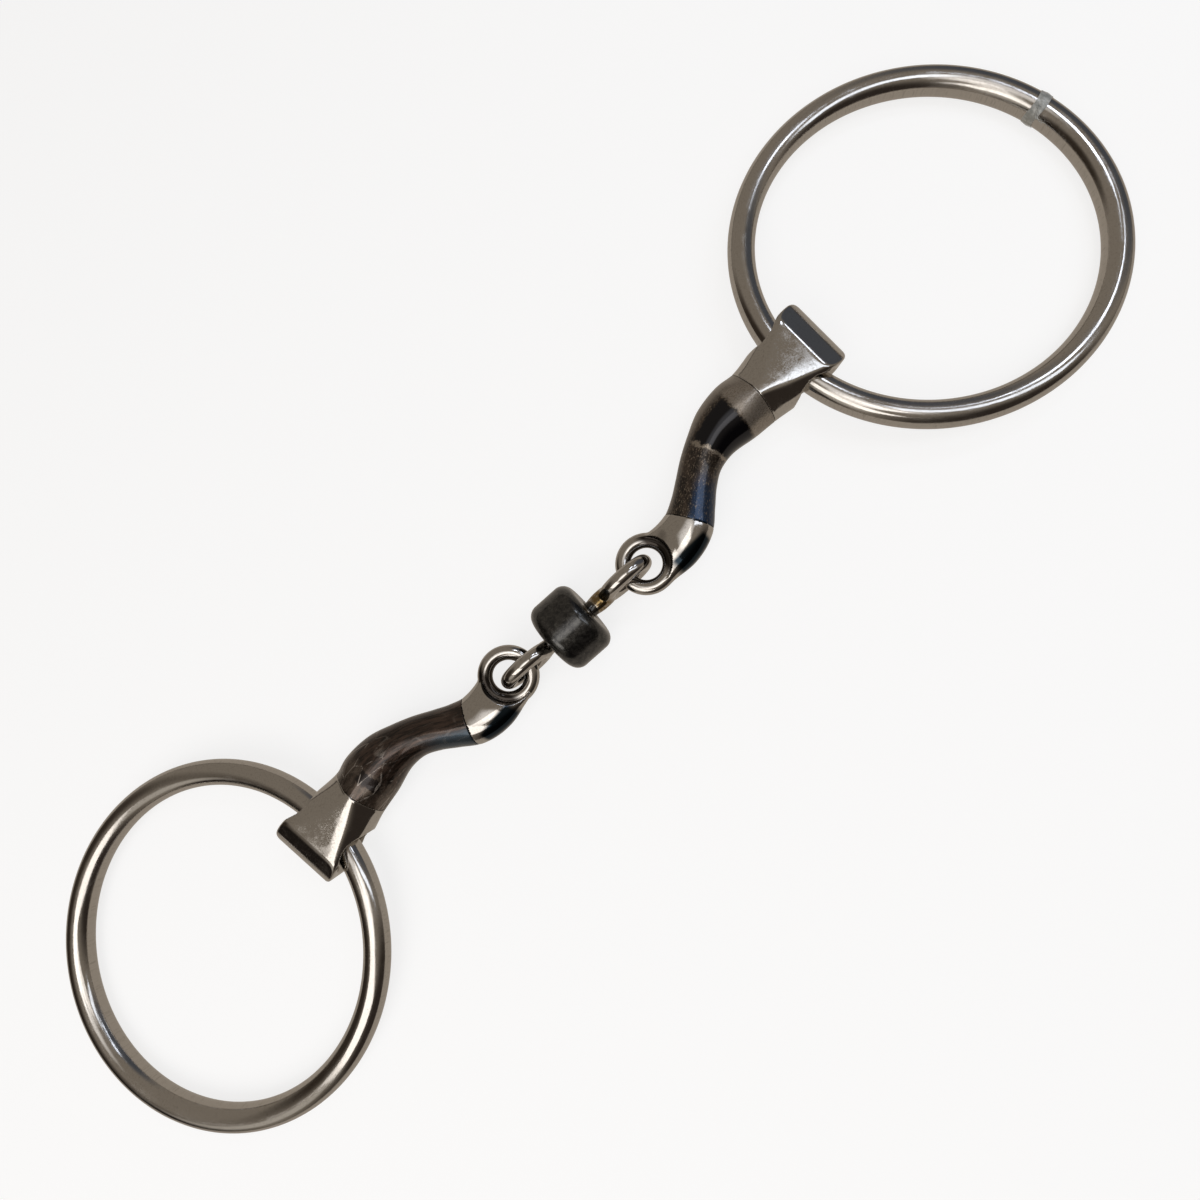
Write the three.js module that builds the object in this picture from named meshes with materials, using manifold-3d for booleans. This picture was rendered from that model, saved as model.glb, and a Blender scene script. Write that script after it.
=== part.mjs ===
// A loose-ring snaffle bit with a three-piece mouth: two round rings, two curved bars whose
// middles carry a dark iron sleeve, and a wire centre link with a roller turning on it.
// It lies flat, as on a table. Millimetres, +Z up. X runs along the mouth, from the left ring to
// the right ring, and the origin is on the table under the middle of the bit.
import * as THREE from "three";
import { mergeVertices } from "three/addons/utils/BufferGeometryUtils.js";
import Module from "manifold-3d";

const wasm = await Module();
wasm.setup();

// Rings: one round wire each, leaning outwards from the hole they run through.
const RING_RADIUS = 35;
const RING_WIRE_RADIUS = 2.7;
const RING_TUBE_SIDES = 12;
const RING_STEPS = 64;

// Bars. Each is drawn once, in its own frame: u runs from the ring hole towards the centre link,
// v is sideways, and the height is measured from the middle plane of the mouth.
const MOUTH_HEIGHT = 7.4;
const HOLE_OFFSET = 64.9;
const BUTT_END = -8.5;
const BUTT_CORNER_RADIUS = 1.8;
const BUTT_END_STEPS = [0.04, 0.25, 0.7];
const BUTT_FLAT_HALF_HEIGHT = 5.72;
const BORE_RADIUS = 4.4;
const BORE_MOUTH_RADIUS = 5.25;
const BORE_MOUTH_DEPTH = 5.2;

// The butt's ground facets. The nose slopes down to the end, and a flank on each side starts at the
// nose, narrows the flat top to a ridge at the sleeve, and fades out along the sleeve.
const NOSE_START = -2.6;
const NOSE_TILT = 30;
const FLANK_TILT = 40;
// Places along the bar and half widths of the flat top there.
const FLANK_STATIONS = [
  [-3, 7.2],
  [-2, 6.3],
  [9.5, 1.35],
  [14, 3.6],
  [20, 7],
];
// Past the butt the flat top rises out of the section by this much between these places.
const FLAT_RISE = 0.3;
const FLAT_RISE_ENDS = [9, 14];
// The butt is rolled about the bar's run, and the roll fades out between these places.
const ROLL_FADE = [6, 26];

// The section starts to follow the bar's curve between these places.
const TURN_START = [8, 14];

const SECTION_SIDES = 20;
const BAR_STEP = 2;

// Stations along a bar: u, v, width, height, and the squareness of the section
// (2 is an ellipse, more is a rounded rectangle).
const BAR_STATIONS = [
  [-8.5, 0.1, 14.8, 11.8, 7],
  [-3, 0.1, 14.8, 11.8, 7],
  [1, 0, 14.4, 11.8, 4],
  [5, -0.3, 13.6, 11.8, 2.4],
  [9.5, -0.3, 12.4, 11.8, 1.6],
  [14, 0.1, 12.4, 11.7, 2],
  [18.3, 0, 11.2, 10.9, 2],
  [22.3, -0.95, 9.3, 9.3, 2],
  [26, -2.5, 8.25, 8.3, 2],
  [29.5, -4.85, 8.15, 8.2, 2],
  [32.7, -7.3, 8.8, 8.3, 2],
  [36.2, -9.6, 10, 8.3, 2.2],
  [40, -10.5, 10.5, 7.6, 2.4],
  [44, -10.2, 10.6, 5, 2.4],
  [47, -9.7, 11.2, 2.4, 2.4],
];

// Eye: the ring at the inner end of a bar, which the centre link hooks through.
const EYE_U = 47;
const EYE_V = -9.3;
const EYE_RADIUS = 4.65;
const EYE_RIM_HALF_WIDTH = 1.5;
const EYE_RIM_HALF_HEIGHT = 1.3;
const EYE_SEAT_RADIUS = 5.1;

// Sleeve: the dark iron tube around the thinned middle of a bar, flush with its ends.
const SLEEVE_START = 9.8;
const SLEEVE_END = 35.4;
const SLEEVE_WALL = 1.3;
const FIT_GAP = 0.3;

// Centre link: wire loops standing upright at both ends of a straight shaft.
const LINK_LENGTH = 38.5;
const LINK_HEIGHT = 7.45;
const LINK_WIRE_RADIUS = 1.55;
const LINK_LOOP_HALF_LENGTH = 4.8;
const LINK_LOOP_HALF_HEIGHT = 3.5;
const WELD_RADIUS = 1.8;

// Roller: the barrel that turns on the link's shaft. It is the thickest piece, so the bit rests on it.
const ROLLER_RADIUS = 7.6;
const ROLLER_LENGTH = 10;
const ROLLER_CORNER = 2.4;
const ROLLER_BORE_RADIUS = 1.95;
const ROLLER_SHIFT = -1.35;

// How each side lies. The two sides differ a little, as a jointed bit does when it is put down.
const SIDES = {
  right: {
    sign: 1,
    ringTilt: 4.1,
    barY: 1.6,
    barYaw: -1.05,
    buttRoll: 7,
    eyeTwist: 0,
  },
  left: {
    sign: -1,
    ringTilt: 3.2,
    barY: 0.35,
    barYaw: 6.85,
    buttRoll: 4,
    eyeTwist: 15,
  },
};
const LINK_MIDDLE = [-0.1, -5.25];
const LINK_YAW = -3.3;

const steel = { color: 0xb9b4ab, roughness: 0.22, metalness: 1 };
const polished = { color: 0xa9a49c, roughness: 0.12, metalness: 1 };
const darkIron = { color: 0x2b2421, roughness: 0.35, metalness: 0.85 };
const rollerIron = { color: 0x3a3a3a, roughness: 0.4, metalness: 0.8 };

const rad = THREE.MathUtils.degToRad;

// --- solids ---------------------------------------------------------------------------------

function solidOf(geometry) {
  const bare = geometry.index ? geometry.toNonIndexed() : geometry.clone();
  bare.deleteAttribute("normal");
  bare.deleteAttribute("uv");
  const merged = mergeVertices(bare, 1e-4);
  const mesh = new wasm.Mesh({
    numProp: 3,
    vertProperties: merged.attributes.position.array,
    triVerts: new Uint32Array(merged.index.array),
  });
  return new wasm.Manifold(mesh);
}

function geometryOf(solid) {
  const mesh = solid.getMesh();
  const geometry = new THREE.BufferGeometry();
  geometry.setAttribute("position", new THREE.BufferAttribute(mesh.vertProperties, 3));
  geometry.setIndex(new THREE.BufferAttribute(mesh.triVerts, 1));
  geometry.computeVertexNormals();
  return geometry;
}

function named(name, geometry, look) {
  const mesh = new THREE.Mesh(geometry, new THREE.MeshStandardMaterial(look));
  mesh.name = name;
  return mesh;
}

// A ring of oval section round the Z axis.
function ovalRing(radius, halfWidth, halfHeight, sides, steps) {
  const profile = [];
  for (let i = 0; i <= sides; i++) {
    const angle = (2 * Math.PI * i) / sides;
    profile.push(new THREE.Vector2(radius + halfWidth * Math.cos(angle), halfHeight * Math.sin(angle)));
  }
  // three.js turns a profile round Y, so the ring is laid over to stand round Z.
  return new THREE.LatheGeometry(profile, steps).rotateX(Math.PI / 2);
}

// --- the bar's shape ------------------------------------------------------------------------

// Smooth value of one column of the stations at a given u.
function along(column, u) {
  const rows = BAR_STATIONS;
  let i = 0;
  while (i < rows.length - 2 && u > rows[i + 1][0]) i += 1;
  const slope = (k) => {
    const before = rows[Math.max(k - 1, 0)];
    const after = rows[Math.min(k + 1, rows.length - 1)];
    return (after[column] - before[column]) / (after[0] - before[0]);
  };
  const span = rows[i + 1][0] - rows[i][0];
  const t = THREE.MathUtils.clamp((u - rows[i][0]) / span, 0, 1);
  const h00 = (1 + 2 * t) * (1 - t) * (1 - t);
  const h10 = t * (1 - t) * (1 - t);
  const h01 = t * t * (3 - 2 * t);
  const h11 = t * t * (t - 1);
  return (
    h00 * rows[i][column] + h10 * span * slope(i) + h01 * rows[i + 1][column] + h11 * span * slope(i + 1)
  );
}

// How much a rounded end narrows the section at a distance from the tip.
function roundedEnd(distance, reach) {
  const x = THREE.MathUtils.clamp(1 - distance / reach, 0, 1);
  return Math.sqrt(1 - x * x);
}

// Half width of the butt's flat top at a given u.
function creaseAt(u) {
  const rows = FLANK_STATIONS;
  const last = rows[rows.length - 1];
  if (u <= rows[0][0]) return rows[0][1];
  if (u >= last[0]) return last[1];
  let i = 0;
  while (u > rows[i + 1][0]) i += 1;
  return THREE.MathUtils.mapLinear(u, rows[i][0], rows[i + 1][0], rows[i][1], rows[i + 1][1]);
}

function sectionAt(u, buttRoll) {
  const reach = u - BUTT_END;
  const corner = BUTT_CORNER_RADIUS * (1 - roundedEnd(reach, BUTT_CORNER_RADIUS));
  const step = 0.05;
  const slope = (along(1, u + step) - along(1, u - step)) / (2 * step);
  const fade = THREE.MathUtils.smoothstep(u, ROLL_FADE[0], ROLL_FADE[1]);
  const nose = Math.max(NOSE_START - u, 0) * Math.tan(rad(NOSE_TILT));
  const top = BUTT_FLAT_HALF_HEIGHT + FLAT_RISE * THREE.MathUtils.smoothstep(u, ...FLAT_RISE_ENDS);
  const flank = creaseAt(u) * Math.sin(rad(FLANK_TILT));
  return {
    u,
    v: along(1, u),
    turn: Math.atan(slope) * THREE.MathUtils.smoothstep(u, ...TURN_START),
    roll: rad(buttRoll) * (1 - fade),
    halfWidth: along(2, u) / 2 - corner,
    halfHeight: along(3, u) / 2,
    topHeight: top - nose - corner,
    flankReach: flank + BUTT_FLAT_HALF_HEIGHT * Math.cos(rad(FLANK_TILT)),
    power: 2 / along(4, u),
  };
}

// The bar's outer skin between two places, made thinner by the inset, with flat ends.
function barSkin(from, to, inset, buttRoll) {
  const count = Math.max(2, Math.round((to - from) / BAR_STEP));
  const places = [];
  for (let i = 0; i <= count; i++) places.push(from + ((to - from) * i) / count);
  if (from === BUTT_END) {
    // The rounded end needs closer steps, and the nose's crease a step of its own.
    places.splice(0, 1, ...BUTT_END_STEPS.map((step) => BUTT_END + step));
    places.push(NOSE_START);
    places.sort((a, b) => a - b);
  }
  const points = [];
  for (const place of places) {
    const s = sectionAt(place, buttRoll);
    for (let k = 0; k < SECTION_SIDES; k++) {
      const angle = (2 * Math.PI * k) / SECTION_SIDES;
      const c = Math.cos(angle);
      const n = Math.sin(angle);
      const wide = Math.abs(c) ** s.power * s.halfWidth;
      const high = Math.min(Math.abs(n) ** s.power * s.halfHeight, s.topHeight);
      const towardsFlank = wide * Math.sin(rad(FLANK_TILT)) + high * Math.cos(rad(FLANK_TILT));
      const pull = Math.max(1, towardsFlank / s.flankReach);
      const across = (Math.sign(c) * wide * (1 - inset / s.halfWidth)) / pull;
      const up = (Math.sign(n) * high * (1 - inset / s.halfHeight)) / pull;
      const rolledAcross = across * Math.cos(s.roll) - up * Math.sin(s.roll);
      const rolledUp = up * Math.cos(s.roll) + across * Math.sin(s.roll);
      points.push(s.u - rolledAcross * Math.sin(s.turn), s.v + rolledAcross * Math.cos(s.turn), rolledUp);
    }
  }
  const faces = [];
  const rings = places.length;
  for (let r = 0; r < rings - 1; r++) {
    for (let k = 0; k < SECTION_SIDES; k++) {
      const a = r * SECTION_SIDES + k;
      const b = r * SECTION_SIDES + ((k + 1) % SECTION_SIDES);
      faces.push(a, b, a + SECTION_SIDES, b, b + SECTION_SIDES, a + SECTION_SIDES);
    }
  }
  const last = (rings - 1) * SECTION_SIDES;
  for (let k = 1; k < SECTION_SIDES - 1; k++) {
    faces.push(0, k + 1, k);
    faces.push(last, last + k, last + k + 1);
  }
  const geometry = new THREE.BufferGeometry();
  geometry.setAttribute("position", new THREE.Float32BufferAttribute(points, 3));
  geometry.setIndex(faces);
  return geometry;
}

// The hole for the ring: a straight bore with mouths that flare along the bar.
function ringHole() {
  const half = BAR_STATIONS[0][2] / 2 + 1;
  const bore = new THREE.CylinderGeometry(BORE_RADIUS, BORE_RADIUS, 2 * half, 20);
  const start = BAR_STATIONS[0][2] / 2 - BORE_MOUTH_DEPTH;
  const profile = [new THREE.Vector2(0, 0)];
  const steps = 3;
  for (let i = 0; i <= steps; i++) {
    const t = i / steps;
    const radius = BORE_RADIUS + (BORE_MOUTH_RADIUS - BORE_RADIUS) * t * t;
    profile.push(new THREE.Vector2(radius, start + BORE_MOUTH_DEPTH * t));
  }
  profile.push(new THREE.Vector2(BORE_MOUTH_RADIUS, half));
  profile.push(new THREE.Vector2(0, half));
  const mouth = () => new THREE.LatheGeometry(profile, 20);
  const far = solidOf(mouth());
  const near = solidOf(mouth().rotateX(Math.PI));
  return solidOf(bore).add(far).add(near);
}

function eyeRing(twist) {
  const ring = ovalRing(EYE_RADIUS, EYE_RIM_HALF_WIDTH, EYE_RIM_HALF_HEIGHT, 10, 30);
  return ring.rotateX(rad(twist)).translate(EYE_U, EYE_V, 0);
}

// The neck stops at a round seat, so that the link's loop can swing round inside it.
function eyeSeat(twist) {
  const seat = new THREE.CylinderGeometry(EYE_SEAT_RADIUS, EYE_SEAT_RADIUS, 30, 30);
  return seat.rotateX(Math.PI / 2 + rad(twist)).translate(EYE_U, EYE_V, 0);
}

function barSolid(side) {
  const roll = side.buttRoll;
  const end = BAR_STATIONS[BAR_STATIONS.length - 1][0];
  const body = solidOf(barSkin(BUTT_END, end, 0, roll));
  const collar = solidOf(barSkin(SLEEVE_START, SLEEVE_END, -1, roll));
  const core = solidOf(barSkin(SLEEVE_START - 2, SLEEVE_END + 2, SLEEVE_WALL + FIT_GAP, roll));
  const thinned = body.subtract(collar.subtract(core));
  const drilled = thinned.subtract(ringHole().rotate([roll, 0, 0]));
  const seated = drilled.subtract(solidOf(eyeSeat(side.eyeTwist)));
  return seated.add(solidOf(eyeRing(side.eyeTwist)));
}

function sleeveSolid(side) {
  const roll = side.buttRoll;
  const outer = solidOf(barSkin(SLEEVE_START + FIT_GAP, SLEEVE_END - FIT_GAP, 0, roll));
  const inner = solidOf(barSkin(SLEEVE_START - 2, SLEEVE_END + 2, SLEEVE_WALL, roll));
  return outer.subtract(inner);
}

// --- the pieces -----------------------------------------------------------------------------

// A bar's own frame has v towards +Y on both sides, so the right bar is the mirror of the left.
function placeBar(solid, side) {
  const geometry = geometryOf(solid);
  const mirrored = new THREE.Matrix4().makeScale(-side.sign, 1, 1);
  const turned = new THREE.Matrix4().makeRotationZ(rad(side.barYaw));
  const placed = new THREE.Matrix4().makeTranslation(side.sign * HOLE_OFFSET, side.barY, MOUTH_HEIGHT);
  geometry.applyMatrix4(placed.multiply(turned).multiply(mirrored));
  if (side.sign > 0) flip(geometry);
  return geometry;
}

function flip(geometry) {
  const index = geometry.index.array;
  for (let i = 0; i < index.length; i += 3) [index[i + 1], index[i + 2]] = [index[i + 2], index[i + 1]];
}

function ring(side) {
  const tilt = rad(side.ringTilt);
  const geometry = new THREE.TorusGeometry(RING_RADIUS, RING_WIRE_RADIUS, RING_TUBE_SIDES, RING_STEPS);
  geometry.rotateY(side.sign * tilt);
  const centre = HOLE_OFFSET + RING_RADIUS * Math.cos(tilt);
  geometry.translate(side.sign * centre, 0, RING_WIRE_RADIUS + RING_RADIUS * Math.sin(tilt));
  return geometry;
}

// A closed wire loop of oval outline, standing in the XZ plane.
function ovalLoop() {
  const sides = 10;
  const steps = 32;
  const points = [];
  const faces = [];
  for (let i = 0; i < steps; i++) {
    const turn = (2 * Math.PI * i) / steps;
    const x = LINK_LOOP_HALF_LENGTH * Math.cos(turn);
    const z = LINK_LOOP_HALF_HEIGHT * Math.sin(turn);
    const out = new THREE.Vector2(x / LINK_LOOP_HALF_LENGTH ** 2, z / LINK_LOOP_HALF_HEIGHT ** 2).normalize();
    for (let k = 0; k < sides; k++) {
      const angle = (2 * Math.PI * k) / sides;
      const reach = LINK_WIRE_RADIUS * Math.cos(angle);
      points.push(x + reach * out.x, LINK_WIRE_RADIUS * Math.sin(angle), z + reach * out.y);
      const a = i * sides + k;
      const b = i * sides + ((k + 1) % sides);
      const c = ((i + 1) % steps) * sides + k;
      const d = ((i + 1) % steps) * sides + ((k + 1) % sides);
      faces.push(a, b, c, b, d, c);
    }
  }
  const geometry = new THREE.BufferGeometry();
  geometry.setAttribute("position", new THREE.Float32BufferAttribute(points, 3));
  geometry.setIndex(faces);
  return geometry;
}

function centreLink() {
  const loopX = LINK_LENGTH / 2 - LINK_WIRE_RADIUS - LINK_LOOP_HALF_LENGTH;
  const shaftEnd = loopX - LINK_LOOP_HALF_LENGTH;
  const loop = (sign) => solidOf(ovalLoop().translate(sign * loopX, 0, 0));
  const shaft = new THREE.CylinderGeometry(LINK_WIRE_RADIUS, LINK_WIRE_RADIUS, 2 * shaftEnd, 12);
  const weld = new THREE.SphereGeometry(WELD_RADIUS, 12, 8).scale(1.4, 1, 1).translate(shaftEnd - 1.6, 0, 0);
  const link = solidOf(shaft.rotateZ(Math.PI / 2)).add(loop(1)).add(loop(-1)).add(solidOf(weld));
  return placeOnLink(geometryOf(link), LINK_HEIGHT);
}

function placeOnLink(geometry, height) {
  return geometry.rotateZ(rad(LINK_YAW)).translate(LINK_MIDDLE[0], LINK_MIDDLE[1], height);
}

function roller() {
  const half = ROLLER_LENGTH / 2;
  const profile = [new THREE.Vector2(ROLLER_BORE_RADIUS, -half)];
  const steps = 4;
  for (const end of [-1, 1]) {
    for (let i = 0; i <= steps; i++) {
      const angle = ((end < 0 ? i : steps - i) / steps) * (Math.PI / 2);
      const x = ROLLER_RADIUS - ROLLER_CORNER * (1 - Math.sin(angle));
      const y = end * (half - ROLLER_CORNER * (1 - Math.cos(angle)));
      profile.push(new THREE.Vector2(x, y));
    }
  }
  profile.push(new THREE.Vector2(ROLLER_BORE_RADIUS, half));
  profile.push(profile[0].clone());
  const barrel = new THREE.LatheGeometry(profile, 32).rotateZ(Math.PI / 2).translate(ROLLER_SHIFT, 0, 0);
  return placeOnLink(barrel, ROLLER_RADIUS);
}

const snaffle = new THREE.Group();
for (const [name, side] of Object.entries(SIDES)) {
  snaffle.add(named(name + "_ring", ring(side), steel));
  snaffle.add(named(name + "_bar", placeBar(barSolid(side), side), polished));
  snaffle.add(named(name + "_sleeve", placeBar(sleeveSolid(side), side), darkIron));
}
snaffle.add(named("centre_link", centreLink(), polished));
snaffle.add(named("roller", roller(), rollerIron));

export default snaffle;
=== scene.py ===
"""A loose-ring snaffle bit with a three-piece mouth, lying on a pale table.

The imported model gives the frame, the joints and the place of every piece. This script makes the fine
surfaces and the materials around it: rings, curved steel bars with eyes, dark iron sleeves, the wire
centre link, its roller, and a scrap of clear film on one ring. Lengths are in millimetres until a mesh
is made, and the bar's own frame is the CAD model's: u along the bar, v sideways, t up.
"""

import math

import bpy
import numpy as np
import openvdb
from mathutils import Matrix, Vector


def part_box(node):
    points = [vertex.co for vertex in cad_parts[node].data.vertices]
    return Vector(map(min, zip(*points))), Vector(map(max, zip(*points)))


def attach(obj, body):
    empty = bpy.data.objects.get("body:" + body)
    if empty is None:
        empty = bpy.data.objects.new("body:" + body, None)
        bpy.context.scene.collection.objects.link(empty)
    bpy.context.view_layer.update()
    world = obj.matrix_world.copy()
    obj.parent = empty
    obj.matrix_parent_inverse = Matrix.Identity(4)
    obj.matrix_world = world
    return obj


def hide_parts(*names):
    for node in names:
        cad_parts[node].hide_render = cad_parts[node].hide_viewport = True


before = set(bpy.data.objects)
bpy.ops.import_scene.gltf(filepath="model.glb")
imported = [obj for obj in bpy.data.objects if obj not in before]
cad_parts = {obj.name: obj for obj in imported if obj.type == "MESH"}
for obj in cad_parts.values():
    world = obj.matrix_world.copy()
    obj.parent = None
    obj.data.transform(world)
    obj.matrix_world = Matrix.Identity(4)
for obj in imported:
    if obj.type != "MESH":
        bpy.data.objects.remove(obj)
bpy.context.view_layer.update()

MM = 0.001

# Rings
RING_WIRE_RADIUS = 2.7
RING_STEPS = 320
RING_SIDES = 40

# Bars: u, v, width, height, squareness of the section (2 is an ellipse)
BAR_STATIONS = np.array([
    (-8.5, 0.1, 14.8, 11.8, 7.0),
    (-3.0, 0.1, 14.8, 11.8, 7.0),
    (1.0, 0.0, 14.4, 11.8, 4.0),
    (5.0, -0.3, 13.6, 11.8, 2.4),
    (9.5, -0.3, 12.4, 11.8, 1.6),
    (14.0, 0.1, 12.4, 11.7, 2.0),
    (18.3, 0.0, 11.2, 10.9, 2.0),
    (22.3, -0.95, 9.3, 9.3, 2.0),
    (26.0, -2.5, 8.25, 8.3, 2.0),
    (29.5, -4.85, 8.15, 8.2, 2.0),
    (32.7, -7.3, 8.8, 8.3, 2.0),
    (36.2, -9.6, 10.0, 8.3, 2.2),
    (40.0, -10.5, 10.5, 7.6, 2.4),
    (44.0, -10.2, 10.6, 5.0, 2.4),
    (47.0, -9.7, 11.2, 2.4, 2.4),
])
HOLE_OFFSET = 64.9
MOUTH_HEIGHT = 7.4
BUTT_END = -8.5
BUTT_EDGE = 2.9
BUTT_FLAT_HALF_HEIGHT = 5.72
# Past the butt the flats rise out of the section by this much, between these places
FLAT_RISE = 0.3
FLAT_RISE_ENDS = (9, 14)
# The butt's roll fades out between these places
ROLL_FADE = (6.0, 26.0)
# The sections begin to follow the bar's curve between these places
TURN_START = (8, 14)
NOSE_TILT = math.radians(30)
NOSE_START = -2.6
FLANK_TILT = math.radians(40)
# Places along the bar and half widths of the butt's flat top there
FLANK_STATIONS = ((-3.0, 7.2), (-2.0, 6.3), (9.5, 1.35), (14.0, 3.6), (20.0, 7.0))
BORE_RADIUS = 4.4
BORE_MOUTH_RADIUS = 5.25
BORE_MOUTH_DEPTH = 5.2
# How far out the flare goes on widening, in flare depths
FLARE_LIMIT = 1.3
EYE_U = 47.0
EYE_V = -9.3
EYE_RADIUS = 4.65
EYE_RIM_HALF_WIDTH = 1.5
EYE_RIM_HALF_HEIGHT = 1.3
EYE_SEAT_RADIUS = 5.1
SLEEVE_START = 9.8
SLEEVE_END = 35.4
SLEEVE_WALL = 1.3
FIT_GAP = 0.3
SLEEVE_STEPS = 150
SLEEVE_SIDES = 128
SLEEVE_LIP = 0.12
SEAM = 0.08
# The least half width of a section that has been moved in
THINNEST = 0.3
BAR_VOXEL = 0.26
# Rounding where the bar's surfaces meet
FLAT_ROUNDING = 0.3
FLANK_ROUNDING = 0.4
NOSE_ROUNDING = 0.45
SHOULDER_ROUNDING = 0.12
HOLE_ROUNDING = 0.35
SEAT_ROUNDING = 0.25
NECK_ROUNDING = 0.3
EYE_FILLET = 0.3
# Rounds, and the share of each step taken, when looking for a point's place along the bar
PLACE_ROUNDS = 5
PLACE_SHARE = 0.9

# How each side lies, in millimetres and degrees. The roll is the butt's, about the bar's run
SIDES = {
    "right": {"sign": 1, "bar_y": 1.6, "yaw": -1.05, "roll": 7.0, "eye_twist": 0.0},
    "left": {"sign": -1, "bar_y": 0.35, "yaw": 6.85, "roll": 4.0, "eye_twist": 15.0},
}

# Surfaces made from a field: how far from the surface it is worked out, and in what blocks
FIELD_BAND = 9
FIELD_BLOCK = 4

# Centre link and roller
LINK_LENGTH = 38.5
LINK_HEIGHT = 7.45
LINK_WIRE_RADIUS = 1.55
LINK_LOOP_HALF_LENGTH = 4.8
LINK_LOOP_HALF_HEIGHT = 3.5
LINK_MIDDLE = (-0.1, -5.25)
LINK_YAW = -3.3
LINK_VOXEL = 0.15
WELD_RADIUS = 1.8
WELD_SHIFT = 1.6
WELD_STRETCH = 1.6
WELD_FILLET = 0.9
LOOP_FILLET = 0.6
ROLLER_RADIUS = 7.6
ROLLER_LENGTH = 10.0
ROLLER_CORNER = 2.4
ROLLER_BORE_RADIUS = 1.95
ROLLER_SHIFT = -1.35
ROLLER_SIDES = 128

# Film: a scrap wound over the right ring's wire
FILM_ANGLE = math.radians(5.5)
FILM_WIDTH = 2.4
FILM_GAP = 0.05
FILM_THICKNESS = 0.09
FILM_WRAP = (math.radians(-50), math.radians(230))
# Each strand: start across the band, length, and how far it strays
FILM_STRANDS = ((0.25, 0.9, -0.5), (0.5, 1.7, -0.85), (0.75, 1.25, -0.3))
FILM_STRAND_RADIUS = 0.11


# --- mesh helpers ---------------------------------------------------------------------------

def mesh_object(name, points, faces, places=None):
    """An object from points in millimetres, smooth shaded. places are the points' own coordinates on
    the piece, which the materials read."""
    faces = facing_out(points, np.asarray(faces))
    mesh = bpy.data.meshes.new(name)
    mesh.from_pydata((points * MM).tolist(), [], faces.tolist())
    mesh.polygons.foreach_set("use_smooth", [True] * len(mesh.polygons))
    if places is not None:
        attribute = mesh.attributes.new("place", "FLOAT_VECTOR", "POINT")
        attribute.data.foreach_set("vector", np.asarray(places, np.float32).ravel())
    mesh.update()
    made = bpy.data.objects.new(name, mesh)
    bpy.context.scene.collection.objects.link(made)
    return made


def facing_out(points, faces):
    """The faces of a closed mesh, turned round if they face inwards."""
    a, b, c = (points[faces[:, i]] for i in range(3))
    d = points[faces[:, -1]]
    volume = (np.cross(b, c) * a).sum() + (np.cross(c, d) * a).sum()
    return faces if volume > 0 else faces[:, ::-1]


def tube_faces(rings, sides, closed=False):
    """Quads that join rings of points, each ring having the same number of sides."""
    last = rings if closed else rings - 1
    faces = []
    for r in range(last):
        for k in range(sides):
            a = r * sides + k
            b = r * sides + (k + 1) % sides
            c = ((r + 1) % rings) * sides + (k + 1) % sides
            d = ((r + 1) % rings) * sides + k
            faces.append((a, b, c, d))
    return faces


def field_values(field, axes, voxel):
    """The field on a grid. Blocks of cells far from the surface take the value at their middle."""
    block = FIELD_BLOCK
    counts = [len(axis) for axis in axes]
    middles = [axis[::block] + voxel * (block - 1) / 2 for axis in axes]
    coarse_points = np.stack(np.meshgrid(*middles, indexing="ij"), -1).reshape(-1, 3)
    coarse = field(coarse_points).reshape([len(m) for m in middles])
    values = coarse.repeat(block, 0).repeat(block, 1).repeat(block, 2)
    values = values[: counts[0], : counts[1], : counts[2]]
    i, j, k = np.nonzero(np.abs(values) < FIELD_BAND * voxel)
    near = np.stack([axes[0][i], axes[1][j], axes[2][k]], 1)
    values[i, j, k] = field(near)
    return np.clip(values, -FIELD_BAND * voxel, FIELD_BAND * voxel).astype(np.float32)


def field_mesh(field, low, high, voxel):
    """The zero surface of a distance-like field as points, quads and outward normals."""
    low = np.array(low, float) - 2 * voxel
    high = np.array(high, float) + 2 * voxel
    axes = [np.arange(a, b + voxel, voxel) for a, b in zip(low, high)]
    grid = openvdb.FloatGrid(FIELD_BAND * voxel)
    grid.copyFromArray(field_values(field, axes, voxel))
    points, quads = grid.convertToQuads(0.0)
    points = points.astype(float) * voxel + low
    for _ in range(2):
        slope = gradient(field, points)
        step = field(points) / np.maximum((slope ** 2).sum(1), 0.2)
        points = points - slope * np.clip(step, -0.5 * voxel, 0.5 * voxel)[:, None]
    normals = gradient(field, points)
    normals /= np.maximum(np.linalg.norm(normals, axis=1), 1e-9)[:, None]
    return points, quads, normals


def gradient(field, points, step=0.03):
    slope = np.empty_like(points)
    for i in range(3):
        shift = np.zeros(3)
        shift[i] = step
        slope[:, i] = (field(points + shift) - field(points - shift)) / (2 * step)
    return slope


def soft_min(a, b, radius):
    """Joins two fields with a fillet of about that radius."""
    h = np.clip(0.5 + 0.5 * (b - a) / radius, 0, 1)
    return b + (a - b) * h - radius * h * (1 - h)


def soft_max(a, b, radius):
    return -soft_min(-a, -b, radius)


# --- the bar's shape ------------------------------------------------------------------------

def station_slopes(column):
    u = BAR_STATIONS[:, 0]
    y = BAR_STATIONS[:, column]
    first = np.maximum(np.arange(len(u)) - 1, 0)
    last = np.minimum(np.arange(len(u)) + 1, len(u) - 1)
    return (y[last] - y[first]) / (u[last] - u[first])


SLOPES = {column: station_slopes(column) for column in range(1, 5)}


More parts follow.
